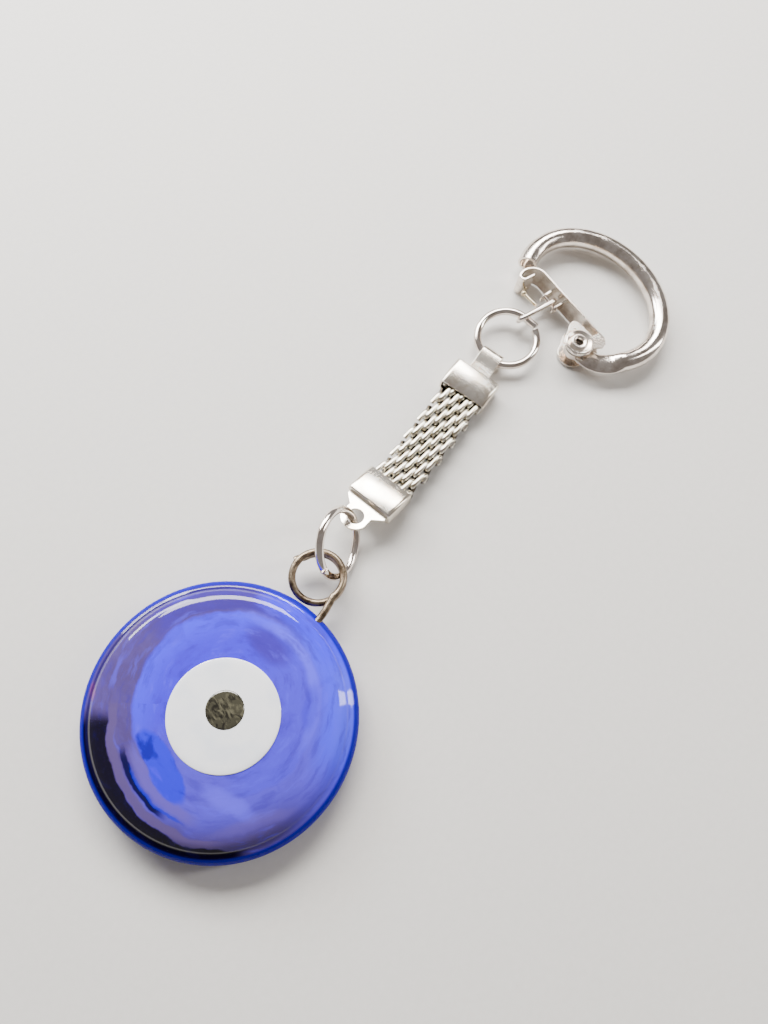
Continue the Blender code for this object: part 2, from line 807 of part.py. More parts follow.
wire_reach = upper_mouth + TONGUE_REACH - RING_BEHIND_CURL
ring_wire_at = point_in(upper_clamp, (wire_reach, 0, tongue_eye))
upper_ring = add_empty(
    "upper_ring_swing",
    heading_frame(ring_wire_at, UPPER_RING_HEADING, UPPER_RING_SLOPE),
    upper_clamp,
)
upper_ring_plane = upper_ring.matrix_world @ Matrix.Translation((RING_RADIUS * MM, 0, 0))
make_ring("upper_jump_ring", upper_ring, upper_ring_plane, -38.0)

round_ring = math.radians(LINK_ON_RING)
link_at = point_in(
    upper_ring,
    (RING_RADIUS * (1 + math.cos(round_ring)), RING_RADIUS * math.sin(round_ring), 0),
)
pin_at = (LINK_PIN_X, LINK_PIN_Y, SNAP_HEIGHT)
link_run = Vector(pin_at) - Vector(link_at)
link_heading = math.degrees(math.atan2(link_run.y, link_run.x))
link = add_empty(
    "link_swing", heading_frame(link_at, link_heading, 0, LINK_LEAN), upper_ring
)
before = RING_WIRE / 2 + LINK_CLEARANCE + LINK_WIRE / 2
beyond = LINK_PIN_RADIUS + LINK_CLEARANCE + LINK_WIRE / 2
link_outline = shift(link_path(link_run.length + before + beyond), -before)
swept("connector_link", link_outline, LINK_WIRE / 2, 8, CHROME, link, closed=True)

gate = add_empty("gate_swing", heading_frame(pin_at), link)
make_gate(gate)
pin_shape("link_pin", gate)
make_keeper_wire(gate)
make_rivet(gate)
make_spring(gate)

shackle_hinge = add_empty("shackle_hinge", heading_frame((*PIVOT, SNAP_HEIGHT)), gate)
make_shackle(shackle_hinge)
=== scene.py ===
"""Looks of the evil-eye key chain: fine geometry and node-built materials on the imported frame.

Lengths are millimetres, angles degrees, until a mesh is made. U and V are two horizontal
directions on the bead, along which the clouds in its glass are laid out.
"""

import json
import math

import bpy
from mathutils import Matrix, Vector


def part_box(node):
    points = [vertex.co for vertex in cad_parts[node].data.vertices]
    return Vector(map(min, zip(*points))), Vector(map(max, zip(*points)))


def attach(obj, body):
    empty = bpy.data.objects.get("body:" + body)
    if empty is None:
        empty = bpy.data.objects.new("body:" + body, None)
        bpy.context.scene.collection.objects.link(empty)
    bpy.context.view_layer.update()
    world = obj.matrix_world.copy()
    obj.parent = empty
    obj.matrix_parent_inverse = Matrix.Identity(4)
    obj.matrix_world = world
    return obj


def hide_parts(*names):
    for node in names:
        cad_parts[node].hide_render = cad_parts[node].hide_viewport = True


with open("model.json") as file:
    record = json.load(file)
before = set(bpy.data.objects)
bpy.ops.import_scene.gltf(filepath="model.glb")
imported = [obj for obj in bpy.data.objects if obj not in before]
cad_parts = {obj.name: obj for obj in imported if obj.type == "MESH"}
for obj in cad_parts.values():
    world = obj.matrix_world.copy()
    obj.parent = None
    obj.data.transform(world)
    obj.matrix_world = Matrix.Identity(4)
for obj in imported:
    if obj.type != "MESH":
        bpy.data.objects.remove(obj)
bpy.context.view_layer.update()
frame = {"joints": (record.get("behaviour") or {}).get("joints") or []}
MM = 0.001
JOINTS = {joint["name"]: joint for joint in frame["joints"]}

# ---- driving dimensions, as in the CAD model ----
BEAD_HEIGHT = 9.0
DOME_RADIUS = 21.4
DOME_SHOULDER = 6.3
WHITE_RADIUS = 9.1
PUPIL_RADIUS = 3.1
WHITE_CENTRE = (0.5, -0.6)
PUPIL_CENTRE = (1.14, -0.07)
EYELET_CENTRE = (26.14, 9.6)
EYELET_RADIUS = 4.5
EYELET_WIRE = 1.3
EYELET_TOP = 5.7
EYELET_PITCH = 1.4
EYELET_START = -90.0
EYELET_END = 465.0
EYELET_TAIL_IN_GLASS = (19.6, 2.9, 5.3)
RING_RADIUS = 6.0
RING_WIRE = 1.4
RING_CUT = 4.0
CLAMP_LENGTH = 6.2
CLAMP_WIDTH = 9.95
CLAMP_HEIGHT = 3.2
CLAMP_SHEET = 0.38
TAB_LENGTH = 3.5
TAB_HOLE_RADIUS = 1.6
TAB_NOSE_RADIUS = 2.75
TAB_PULL = 0.6
ROW_COUNT = 12
ROW_PITCH = 2.29
ROW_TURNS = 4
TURN_PITCH = 2.1
COIL_LENGTH = 3.72
COIL_HEIGHT = 1.5
COIL_SQUARENESS = 0.65
TURN_LEAN = 0.05
ROW_IN_CLAMP = 0.9
TONGUE_WIDTH = 4.4
TONGUE_SHEET = 0.5
TONGUE_REACH = 10.95
TONGUE_CURL_GAP = 0.35
LINK_WIRE = 1.0
LINK_HALF_HEIGHT = 1.3
LINK_LEAN = 20.0
SNAP_HEIGHT = 2.9
GATE_SHEET = 0.4
GATE_HALF_HEIGHT = 2.5
GATE_OUTER_X = 100.8
GATE_LOW_Y = 15.6
TOP_EAR_JOIN_Y = 17.0
BOTTOM_EAR_JOIN_Y = 21.5
LUG_OFFSET = 1.7
LUG_HALF_HEIGHT = 1.2
LUG_REACH_X = 97.7
LINK_PIN_HALF_LENGTH = 2.15
HOOK_CENTRE = (97.5, 33.8)
HOOK_END = 112.0
CURL_CENTRE = (96.64, 35.93)
CURL_RADIUS = 0.8
LIP_END = (98.6, 34.95)
EAR_RADIUS = 3.0
RIVET_RADIUS = 1.05
RIVET_BORE = 0.65
SHACKLE_CENTRE = (106.5, 24.7)
SHACKLE_HALF_LENGTH = 13.1
SHACKLE_HALF_WIDTH = 15.7
SHACKLE_TUBE = 2.0
SHACKLE_BORE = 1.5
SHACKLE_FREE_END = 117.0
SHACKLE_PIVOT_END = -112.0
TAIL_HALF_HEIGHT = 0.7

# ---- what only the looks use ----
CAMERA_LENS = 27.04
CAMERA_PLACE = (7.70, -14.87, 136.37)
CAMERA_VIEW = (0.2527, 0.1962, -0.9474)
CAMERA_UP = (0.5531, 0.7742, 0.3078)
WHITE_LIFT = 0.12
PUPIL_BASE = 9.08
PUPIL_RISE = 0.3
RING_SWELL = 0.05
LINK_PLAY = 0.16
LINK_PIN_RADIUS = 0.4
KEEPER_WIRE = 0.64
KEEPER_BALL = 0.62
RIVET_ROLL = 0.3
SPRING_RADIUS = 1.55
SPRING_WIRE = 0.35
SPRING_RISE = 0.84
SHACKLE_TAIL = ((100.1, 10.75), (98.6, 11.6), (97.3, 12.75), (96.4, 14.3), (95.95, 16.4))
TAIL_HALF_WIDTH = 2.1
TAIL_EYE_RADIUS = 2.3
U = (0.797, -0.604)
V = (0.604, 0.797)
BEAD_SIDES = 192
MESH_WIRE_WIDTH = 0.5
MESH_WIRE_DEPTH = 0.38


# ---- frames, in metres ----
def place(origin, along, across):
    """A frame at origin with X along, and with Y as near to across as X allows."""
    x = Vector(along).normalized()
    y = Vector(across)
    y = (y - x * y.dot(x)).normalized()
    made = Matrix((x, y, x.cross(y))).transposed().to_4x4()
    made.translation = Vector(origin)
    return made


def flat_frame(x, y, z, heading=0.0):
    return Matrix.Translation(Vector((x, y, z)) * MM) @ Matrix.Rotation(
        math.radians(heading), 4, "Z"
    )


def joint_at(name):
    return Vector(JOINTS[name]["pos_m"])


def joint_axis(name):
    return Vector(JOINTS[name]["axis"])


# ---- node graphs ----
def linear(hexadecimal):
    """Scene-linear RGB of a colour written as it looks on a screen."""
    parts = [int(hexadecimal[i : i + 2], 16) / 255 for i in (0, 2, 4)]
    return tuple(p / 12.92 if p < 0.04045 else ((p + 0.055) / 1.055) ** 2.4 for p in parts)


def vivid(hexadecimal):
    """The glass colour that comes out as the given one after the view transform, which
    pales bright blues: the stronger the blue, the more it needs and the less green."""
    red, green, blue = linear(hexadecimal)
    strong = blue * blue
    base = red * (1.18 - 0.45 * strong), green - 0.24 * strong, blue * (1 + 3 * strong)
    return tuple(min(0.98, max(0.0, 0.42 * c)) for c in base)


class Graph:
    """A material and short calls that add nodes to it; each call returns an output socket."""

    def __init__(self, name):
        self.material = bpy.data.materials.new(name)
        self.material.use_nodes = True
        self.tree = self.material.node_tree
        self.shader = self.tree.nodes["Principled BSDF"]
        self.place = self.add("ShaderNodeTexCoord").outputs["Object"]

    def add(self, kind, **settings):
        node = self.tree.nodes.new(kind)
        for key, value in settings.items():
            setattr(node, key, value)
        return node

    def feed(self, socket, value):
        if isinstance(value, bpy.types.NodeSocket):
            self.tree.links.new(value, socket)
        elif isinstance(value, tuple) and len(value) == 3 and socket.type == "RGBA":
            socket.default_value = (*value, 1.0)
        else:
            socket.default_value = value

    def math(self, operation, *values, clamp=False):
        node = self.add("ShaderNodeMath", operation=operation, use_clamp=clamp)
        for socket, value in zip(node.inputs, values):
            self.feed(socket, value)
        return node.outputs[0]

    def vector(self, operation, *values):
        node = self.add("ShaderNodeVectorMath", operation=operation)
        for socket, value in zip(node.inputs, values):
            self.feed(socket, value)
        single = operation in ("DOT_PRODUCT", "DISTANCE", "LENGTH")
        return node.outputs["Value" if single else "Vector"]

    def scaled(self, place, by):
        return self.vector("MULTIPLY", place, by)

    def noise(self, size, detail=3.0, rough=0.5, place=None, twist=0.0):
        """Fractal noise whose largest features are about size millimetres across."""
        node = self.add("ShaderNodeTexNoise")
        self.feed(node.inputs["Vector"], place or self.place)
        node.inputs["Scale"].default_value = 1 / (size * MM)
        node.inputs["Detail"].default_value = detail
        node.inputs["Roughness"].default_value = rough
        node.inputs["Distortion"].default_value = twist
        return node

    def step(self, value, low, high, start=0.0, end=1.0):
        """start below low, end above high, and a smooth rise between them."""
        node = self.add("ShaderNodeMapRange", interpolation_type="SMOOTHSTEP")
        for socket, given in zip(node.inputs, (value, low, high, start, end)):
            self.feed(socket, given)
        return node.outputs[0]

    def mix(self, share, first, second):
        node = self.add("ShaderNodeMix", data_type="RGBA")
        self.feed(node.inputs["Factor"], share)
        self.feed(node.inputs[6], first)
        self.feed(node.inputs[7], second)
        return node.outputs[2]

    def bump(self, height, strength, distance, normal=None):
        node = self.add("ShaderNodeBump")
        node.inputs["Strength"].default_value = strength
        node.inputs["Distance"].default_value = distance * MM
        self.feed(node.inputs["Height"], height)
        if normal:
            self.feed(node.inputs["Normal"], normal)
        return node.outputs[0]

    def finish(self, **sockets):
        for name, value in sockets.items():
            self.feed(self.shader.inputs[name.replace("_", " ")], value)
        return self.material


def metal(name, bright, dark, roughness, scratch=0.25, pits=0.0, patch_size=3.0, painted_shade=None):
    """Plated metal: blotches between two tints, uneven gloss, fine scratches and pits.

    The colour given last is painted shade: it fills the low parts of a mesh with a "height"
    attribute, where the gaps between the wires fall dark.
    """
    g = Graph(name)
    blotch = g.noise(patch_size, 5, 0.6).outputs["Fac"]
    tint = g.mix(g.step(blotch, 0.38, 0.68), bright, dark)
    fine = g.noise(0.5, 4, 0.6).outputs["Fac"]
    gloss = g.math("MULTIPLY_ADD", fine, roughness * 0.7, roughness * 0.55)
    along = g.noise(0.35, 2, 0.5, g.scaled(g.place, (0.12, 1.0, 0.6))).outputs["Fac"]
    normal = g.bump(along, scratch, 0.02)
    if pits:
        pit = g.noise(0.28, 3, 0.7).outputs["Fac"]
        where = g.step(g.noise(5.0, 2, 0.5).outputs["Fac"], 0.42, 0.62)
        depth = g.math("MULTIPLY", g.step(pit, 0.35, 0.55), where)
        normal = g.bump(depth, pits, 0.05, normal)
    if painted_shade:
        # painted shade: each wire is darker towards the bottom of its coil, standing in for the
        # shade between the wires
        height = g.add("ShaderNodeAttribute", attribute_name="height").outputs["Fac"]
        tint = g.mix(g.step(height, 0.25, 0.95), linear(painted_shade), tint)
    return g.finish(Base_Color=tint, Metallic=1.0, Roughness=gloss, Normal=normal)


# ---- the bead's glass ----
class Glass(Graph):
    """Layers of cloud laid over each other in the bead's own (u, v) plane."""

    def __init__(self, name, base):
        super().__init__(name)
        warp = self.noise(6.0, 4, 0.55).outputs["Color"]
        offset = self.vector("SUBTRACT", warp, (0.5, 0.5, 0.5))
        shifted = self.vector("ADD", self.place, self.scaled(offset, (0.0022, 0.0022, 0.0)))
        self.plain_u, self.plain_v = self.spread(self.place)
        self.u, self.v = self.spread(shifted)
        self.colour = base

    def spread(self, place):
        """The place's u and v, in millimetres."""
        return tuple(
            self.vector("DOT_PRODUCT", place, (way[0] / MM, way[1] / MM, 0.0)) for way in (U, V)
        )

    def reach(self, centre=(0.0, 0.0), warped=True):
        """Distance from centre in the (u, v) plane."""
        u, v = (self.u, self.v) if warped else (self.plain_u, self.plain_v)
        du = self.math("SUBTRACT", u, centre[0])
        dv = self.math("SUBTRACT", v, centre[1])
        squares = self.math("MULTIPLY_ADD", du, du, self.math("MULTIPLY", dv, dv))
        return self.math("SQRT", squares)

    def toward(self, bearing, low, high, centre=(0.0, 0.0)):
        """Rises from 0 to 1 as the direction from centre turns towards bearing."""
        a = math.radians(bearing)
        du = self.math("SUBTRACT", self.u, centre[0])
        dv = self.math("SUBTRACT", self.v, centre[1])
        ahead = self.math(
            "MULTIPLY_ADD", du, math.cos(a), self.math("MULTIPLY", dv, math.sin(a))
        )
        cosine = self.math("DIVIDE", ahead, self.reach(centre))
        return self.step(cosine, low, high)

    def band(self, radius, half_width, centre=(0.0, 0.0), soft=0.6, warped=True):
        """1 on a ring of the given radius, fading out over soft beyond half_width."""
        off = self.math("ABSOLUTE", self.math("SUBTRACT", self.reach(centre, warped), radius))
        return self.step(off, half_width, half_width + soft, 1.0, 0.0)

    def blob(self, centre, half_long, half_wide, bearing, soft=0.5):
        """1 inside an ellipse, fading out over its outer share soft."""
        a = math.radians(bearing)
        du = self.math("SUBTRACT", self.u, centre[0])
        dv = self.math("SUBTRACT", self.v, centre[1])
        long = self.math(
            "MULTIPLY_ADD", du, math.cos(a) / half_long,
            self.math("MULTIPLY", dv, math.sin(a) / half_long),
        )
        wide = self.math(
            "MULTIPLY_ADD", dv, math.cos(a) / half_wide,
            self.math("MULTIPLY", du, -math.sin(a) / half_wide),
        )
        squares = self.math("MULTIPLY_ADD", long, long, self.math("MULTIPLY", wide, wide))
        return self.step(squares, 1.0 - soft, 1.0 + soft, 1.0, 0.0)

    def both(self, *masks):
        made = masks[0]
        for mask in masks[1:]:
            made = self.math("MULTIPLY", made, mask)
        return made

    def lay(self, mask, colour, strength=1.0):
        share = mask if strength == 1.0 else self.math("MULTIPLY", mask, strength)
        self.colour = self.mix(share, self.colour, colour)


def cobalt_glass(name):
    g = Glass(name, vivid("7880d2"))
    streaks = g.noise(3.2, 5, 0.6, g.scaled(g.place, (1.0, 0.5, 0.3)), 0.6).outputs["Fac"]
    swirl = g.noise(5.0, 4, 0.55, twist=0.8).outputs["Fac"]
    halo = (1.2, 1.7)
    low = (2.4, -0.6)
    from_halo, from_low, from_middle = g.reach(halo), g.reach(low), g.reach()
    # the outer glass
    g.lay(g.both(g.step(swirl, 0.4, 0.65), g.toward(-50, -0.1, 0.6)), vivid("8088d8"), 0.4)
    g.lay(g.both(g.toward(150, 0.0, 0.6), g.step(from_halo, 13.8, 15.2)), vivid("6a6498"))
    g.lay(g.both(g.toward(165, 0.4, 0.9), g.step(streaks, 0.45, 0.7)), vivid("7c78ae"), 0.4)
    g.lay(g.both(g.toward(85, 0.6, 0.9), g.step(from_halo, 14.8, 15.8)), vivid("5a58a8"))
    g.lay(g.both(g.toward(-85, 0.6, 0.97), g.step(from_middle, 14.5, 19.5)), vivid("605a84"), 0.9)
    g.lay(g.both(g.toward(12, 0.62, 0.95), g.step(from_middle, 14.5, 18.0)), vivid("6a8cee"))
    g.lay(g.both(g.toward(8, 0.8, 0.97), g.step(from_middle, 17.5, 20.5)), vivid("7ea2f6"), 0.8)
    g.lay(g.both(g.toward(48, 0.86, 0.97), g.step(from_middle, 17, 19.5)), vivid("4a6cf0"), 0.8)
    # the milky halo round the eye
    inside = g.step(from_halo, 14.3, 15.2, 1.0, 0.0)
    g.lay(g.both(inside, g.toward(115, -0.45, 0.5)), vivid("606cdc"))
    glow = g.both(inside, g.step(from_halo, 10.0, 14.2), g.toward(112, -0.35, 0.6))
    g.lay(glow, vivid("6682ee"))
    g.lay(g.both(inside, g.toward(-15, 0.1, 0.8)), vivid("6f7cda"), 0.8)
    g.lay(g.blob((7.2, 11.0), 4.4, 2.2, -42, 0.8), vivid("5c58ac"), 0.8)
    arc_mask = g.both(g.band(14.0, 0.35, halo, 0.9), g.toward(22, 0.5, 0.9, halo))
    g.lay(arc_mask, vivid("95a4f0"), 0.8)
    g.lay(g.blob((14.6, 1.0), 3.6, 1.2, 84, 0.8), vivid("5464d2"), 0.5)
    # faint streaks drawn round the eye, and clouds over everything milky
    turned_place = g.add("ShaderNodeCombineXYZ")
    g.feed(turned_place.inputs["X"], g.math("MULTIPLY", from_halo, MM))
    halo_v, halo_u = g.math("SUBTRACT", g.v, halo[1]), g.math("SUBTRACT", g.u, halo[0])
    round_angle = g.math("ARCTAN2", halo_v, halo_u)
    g.feed(turned_place.inputs["Y"], g.math("MULTIPLY", round_angle, 3 * MM))
    drawn = g.noise(1.5, 4, 0.6, turned_place.outputs["Vector"]).outputs["Fac"]
    g.lay(g.step(drawn, 0.5, 0.68), vivid("5558b4"), 0.45)
    g.lay(g.step(drawn, 0.46, 0.3), vivid("8c98ee"), 0.35)
    g.lay(g.step(swirl, 0.52, 0.7), vivid("5a5ec4"), 0.3)
    # lower left: clear glass painted near-black navy, a painted shade for the dark ground seen
    # through it, and the milky streaks drawn out beside it
    lower_left = g.toward(222, 0.55, 0.72)
    dark = g.both(g.step(from_low, 19.5, 19.9), g.toward(232, 0.57, 0.7))
    g.lay(dark, vivid("0e072c"))
    g.lay(g.both(dark, g.step(streaks, 0.52, 0.72)), vivid("1a1180"), 0.5)
    g.lay(g.both(g.band(19.0, 0.45, low, 0.4), lower_left), vivid("78719c"), 0.95)
    g.lay(g.both(g.band(17.6, 0.32, low, 0.3), g.toward(216, 0.92, 0.97, low)), vivid("0f0b5c"))
    line_mask = g.both(g.band(17.15, 0.1, low, 0.25), g.toward(226, 0.92, 0.97, low))
    g.lay(line_mask, vivid("2419d0"), 0.8)
    pale_mask = g.both(g.band(15.9, 0.4, low, 0.8), g.toward(224, 0.84, 0.95, low))
    g.lay(pale_mask, vivid("8a86c2"), 0.85)
    leaf = g.blob((-8.3, -7.8), 6.2, 2.2, -57.7, 0.2)
    g.lay(leaf, vivid("3848dc"))
    g.lay(g.both(leaf, g.step(streaks, 0.5, 0.62)), vivid("191ca4"), 0.8)
    g.lay(g.both(leaf, g.step(streaks, 0.42, 0.3)), vivid("5f70ee"), 0.7)
    # soft pale patches below the eye
    g.lay(g.blob((2.4, -13.2), 4.4, 1.3, -30, 0.95), vivid("9ba2ec"), 0.6)
    g.lay(g.blob((6.0, -16.2), 6.0, 0.9, 16, 0.95), vivid("8884bc"), 0.5)
    g.lay(g.blob((-20.4, 3.7), 1.7, 0.5, 90, 0.7), vivid("a8609c"), 0.7)
    # the rim, where the clear glass is seen edge on
    edge = g.reach(warped=False)
    side = g.step(edge, 21.3, 21.8)
    dull = g.math("MAXIMUM", side, g.both(g.step(edge, 20.4, 20.9), g.toward(225, -0.1, 0.5)))
    g.lay(side, vivid("2216b4"))
    # painted shade: a dark line painted along the groove near the rim on the upper left
    groove_shade = g.both(g.band(20.9, 0.12, (0.0, 0.0), 0.3, False), g.toward(140, 0.2, 0.8))
    g.lay(groove_shade, vivid("201c66"), 0.7)
    cells = g.add("ShaderNodeTexVoronoi")
    cells.inputs["Scale"].default_value = 1 / (1.7 * MM)
    bubble = g.step(cells.outputs["Distance"], 0.05, 0.12, 1.0, 0.0)
    rare = g.step(g.vector("DOT_PRODUCT", cells.outputs["Color"], (1.0, 0.0, 0.0)), 0.62, 0.68)
    g.lay(g.both(bubble, rare), vivid("dfe6ff"), 0.8)
    ripple = g.noise(7.0, 2, 0.4).outputs["Fac"]
    return g.finish(
        Base_Color=g.colour,
        Roughness=0.07,
        Normal=g.bump(ripple, 0.5, 0.1),
        IOR=1.45,
        Specular_IOR_Level=g.math("MULTIPLY_ADD", dull, -0.33, 0.35),
        Coat_Weight=g.math("MULTIPLY_ADD", dull, -0.56, 0.6),
        Coat_Roughness=0.02,
        Subsurface_Weight=0.08,
        Subsurface_Radius=(0.0015, 0.002, 0.004),
    )


def white_glass(name):
    g = Graph(name)
    cloud = g.noise(5.0, 3, 0.5).outputs["Fac"]
    colour = g.mix(g.step(cloud, 0.4, 0.7), linear("fbfcff"), linear("eef2fa"))
    ripple = g.noise(3.0, 2, 0.4).outputs["Fac"]
    return g.finish(
        Base_Color=colour, Roughness=0.12, Normal=g.bump(ripple, 0.3, 0.05), Coat_Weight=1.0,
        Coat_Roughness=0.03,
    )


def pupil_glass(name):
    g = Graph(name)
    way = g.scaled(g.place, (1.0, 0.35, 1.0))
    streak = g.noise(0.9, 4, 0.65, way, 0.8).outputs["Fac"]
    # painted reflection: the lighter olive streaks stand in for streaky reflections on the glossy
    # drop; the near-black is its own colour
    colour = g.mix(g.step(streak, 0.4, 0.62), linear("17150f"), linear("5a5746"))
    patch = g.noise(1.4, 3, 0.6).outputs["Fac"]
    colour = g.mix(g.step(patch, 0.46, 0.62), colour, linear("3a382c"))
    return g.finish(
        Base_Color=colour, Roughness=0.1, Normal=g.bump(streak, 0.35, 0.06), Coat_Weight=1.0,
        Coat_Roughness=0.03,
    )


COBALT = cobalt_glass("cobalt_glass_look")
WHITE = white_glass("white_glass_look")
BLACK = pupil_glass("pupil_glass_look")
BRONZE = metal("bronze_wire_look", linear("9a8a76"), linear("57493a"), 0.36, 0.5, 0.3, 1.6)
CHROME = metal("nickel_look", linear("f4ece4"), linear("dccfc4"), 0.13, 0.04, 0.0, 4.0)
WORN = metal("worn_nickel_look", linear("f0e7de"), linear("cdc1b6"), 0.16, 0.05, 0.2, 3.0)
SHEET = metal("nickel_sheet_look", linear("f8f2e6"), linear("d9ccba"), 0.24, 0.16, 0.12, 3.5)
PLATE = metal("gate_plate_look", linear("f2eae0"), linear("d2c5b8"), 0.27, 0.05, 0.1, 2.5)
# the mesh's last colour, 3a342c, is painted shade for the gaps between its wires
MESH = metal("mesh_wire_look", linear("f4eee0"), linear("c9bfaa"), 0.24, 0.15, 0.0, 1.2, "3a342c")
SPRING = metal("spring_look", linear("b9b4ad"), linear("7c756e"), 0.25, 0.3, 0.0, 1.5)
BRASS = metal("worn_brass_look", linear("ece0c4"), linear("b09c78"), 0.24, 0.2, 0.2, 1.0)


# ---- meshes, from points in millimetres in a frame in metres ----
def piece(name, shape, at, finish, body, nodes=(), bevel=0.0, angle=40.0):
    verts, faces = shape
    mesh = bpy.data.meshes.new(name)
    mesh.from_pydata([at @ (Vector(v) * MM) for v in verts], [], faces)
    mesh.materials.append(finish)
    mesh.shade_smooth()
    mesh.set_sharp_from_angle(angle=math.radians(angle))
    made = bpy.data.objects.new(name, mesh)
    bpy.context.scene.collection.objects.link(made)
    if bevel:
        edge = made.modifiers.new("rounded edges", "BEVEL")
        edge.width = bevel * MM
        edge.segments = 3
        edge.limit_method = "ANGLE"
        edge.angle_limit = math.radians(angle)
        edge.harden_normals = True
    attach(made, body)
    if nodes:
        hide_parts(*nodes)
    return made


def joined(*shapes):
    """Several shapes as one list of vertices and faces."""
    verts, faces = [], []
    for more_verts, more_faces in shapes:
        first = len(verts)
        verts += more_verts
        faces += [tuple(first + i for i in face) for face in more_faces]
    return verts, faces


def moved(shape, x=0.0, y=0.0, z=0.0):
    return [(v[0] + x, v[1] + y, v[2] + z) for v in shape[0]], shape[1]


def arc(radius, start, end, steps, centre=(0.0, 0.0)):
    angles = [math.radians(start + (end - start) * i / steps) for i in range(steps + 1)]
    return [
        (centre[0] + radius * math.cos(a), centre[1] + radius * math.sin(a)) for a in angles
    ]


def turned(profile, sides=96, centre=(0.0, 0.0)):
    """A (radius, height) profile, from bottom to top on its outer side, turned about Z."""
    verts, rings = [], []
    for radius, height in profile:
        if radius == 0:
            rings.append([len(verts)] * sides)
            verts.append((centre[0], centre[1], height))
            continue
        rings.append([len(verts) + i for i in range(sides)])
        for i in range(sides):
            a = math.tau * i / sides
            verts.append(
                (centre[0] + radius * math.cos(a), centre[1] + radius * math.sin(a), height)
            )
    faces = []
    for this, after in zip(rings, rings[1:]):
        for i in range(sides):
            j = (i + 1) % sides
            corners = tuple(dict.fromkeys((this[i], this[j], after[j], after[i])))
            if len(corners) > 2:
                faces.append(corners)
    return verts, faces


def swept(path, section, sides=20, closed=False, bore=0.0, up=None):
    """A section carried along path. section is its radius, or one half-width and
    half-height for each point; up is what the half-height lies along."""
    points = [Vector(p) for p in path]
    count = len(points)
    sizes = section if isinstance(section, list) else [(section, section)] * count
    verts, side = [], None
    layers = (0.0, bore) if bore else (0.0,)
    frames = []
    for i, point in enumerate(points):
        ahead = points[(i + 1) % count] if closed or i + 1 < count else point
        behind = points[i - 1] if closed or i else point
        along = (ahead - behind).normalized()
        if up is not None:
            side = along.cross(Vector(up)).normalized()
        elif side is None:
            side = along.orthogonal().normalized()
        else:
            side = (side - along * side.dot(along)).normalized()
        frames.append((point, side, side.cross(along).normalized()))
    for layer in layers:
        for i, (point, right, above) in enumerate(frames):
            wide, high = sizes[i]
            wide, high = wide - layer, high - layer
            for k in range(sides):
                a = math.tau * k / sides
                verts.append(
                    tuple(point + right * (wide * math.cos(a)) + above * (high * math.sin(a)))
                )
    faces = []
    for n in range(len(layers)):
        first = n * count * sides
        for i in range(count if closed else count - 1):
            a, b = first + i * sides, first + ((i + 1) % count) * sides
            for k in range(sides):
                j = (k + 1) % sides
                quad = (a + k, a + j, b + j, b + k)
                faces.append(quad[::-1] if n else quad)
    if closed:
        return verts, faces
    for end, turn in ((0, 1), ((count - 1) * sides, -1)):
        outer = [end + k for k in range(sides)]
        if bore:
            for k in range(sides):
                j = (k + 1) % sides
                inner = count * sides + end
                faces.append((outer[j], outer[k], inner + k, inner + j)[::turn])
        else:
            faces.append(tuple(outer[::-turn]))
    return verts, faces


def sheet_strip(line, sheet, low, high):
    """A strip of sheet standing on edge along a line in XY, from low to high."""
    left, right = [], []
    for i, (x, y) in enumerate(line):
        ax, ay = line[min(i + 1, len(line) - 1)]
        bx, by = line[max(i - 1, 0)]
        size = math.hypot(ax - bx, ay - by)
        nx, ny = -(ay - by) / size, (ax - bx) / size
        left.append((x + nx * sheet / 2, y + ny * sheet / 2))
        right.append((x - nx * sheet / 2, y - ny * sheet / 2))
    outline = right + left[::-1]
    count, half = len(outline), len(line)
    verts = [(x, y, low) for x, y in outline] + [(x, y, high) for x, y in outline]
    faces = [(i, (i + 1) % count, count + (i + 1) % count, count + i) for i in range(count)]
    for i in range(half - 1):
        j, k = count - 1 - i, count - 2 - i
        faces.append((i, j, k, i + 1))
        faces.append((count + i, count + i + 1, count + k, count + j))
    return verts, faces


def pierced(outline, hole_centre, hole_radius, low, high, sides=64):
    """A plate whose outline is star-shaped about its one round hole."""

    def meet(a):
        """Where the ray at angle a from the hole's centre leaves the outline."""
        best = 0.0
        dx, dy = math.cos(a), math.sin(a)
        for (x1, y1), (x2, y2) in zip(outline, outline[1:] + outline[:1]):
            x1, y1 = x1 - hole_centre[0], y1 - hole_centre[1]
            x2, y2 = x2 - hole_centre[0], y2 - hole_centre[1]
            ex, ey = x2 - x1, y2 - y1
            cross = dx * ey - dy * ex
            if abs(cross) < 1e-12:
                continue
            t = (x1 * ey - y1 * ex) / cross
            s = (x1 * dy - y1 * dx) / cross
            if t > best and -1e-9 <= s <= 1 + 1e-9:
                best = t
        return best

    bearings = []
    corners = sorted(
        math.atan2(y - hole_centre[1], x - hole_centre[0]) % math.tau for x, y in outline
    )
    for a in corners:
        if not bearings or a - bearings[-1] > 0.004:
            bearings.append(a)
    for i in range(sides):
        a = math.tau * i / sides
        if min(abs((a - b + math.pi) % math.tau - math.pi) for b in corners) > 0.025:
            bearings.append(a)
    bearings.sort()
    count = len(bearings)
    rims = []
    for z in (low, high):
        for a in bearings:
            far = meet(a)
            rims.append(
                (hole_centre[0] + far * math.cos(a), hole_centre[1] + far * math.sin(a), z)
            )
    for z in (low, high):
        for a in bearings:
            rims.append(
                (
                    hole_centre[0] + hole_radius * math.cos(a),
                    hole_centre[1] + hole_radius * math.sin(a),
                    z,
                )
            )
    faces = []
    for i in range(count):
        j = (i + 1) % count
        faces.append((i, j, count + j, count + i))
        faces.append((2 * count + j, 2 * count + i, 3 * count + i, 3 * count + j))
        faces.append((j, i, 2 * count + i, 2 * count + j))
        faces.append((count + i, count + j, 3 * count + j, 3 * count + i))
    return rims, faces


# ---- bead ----
def dome_height(radius):
    share = max(0.0, 1 - (radius / DOME_RADIUS) ** 2)
    return DOME_SHOULDER + (BEAD_HEIGHT - DOME_SHOULDER) * math.sqrt(share)


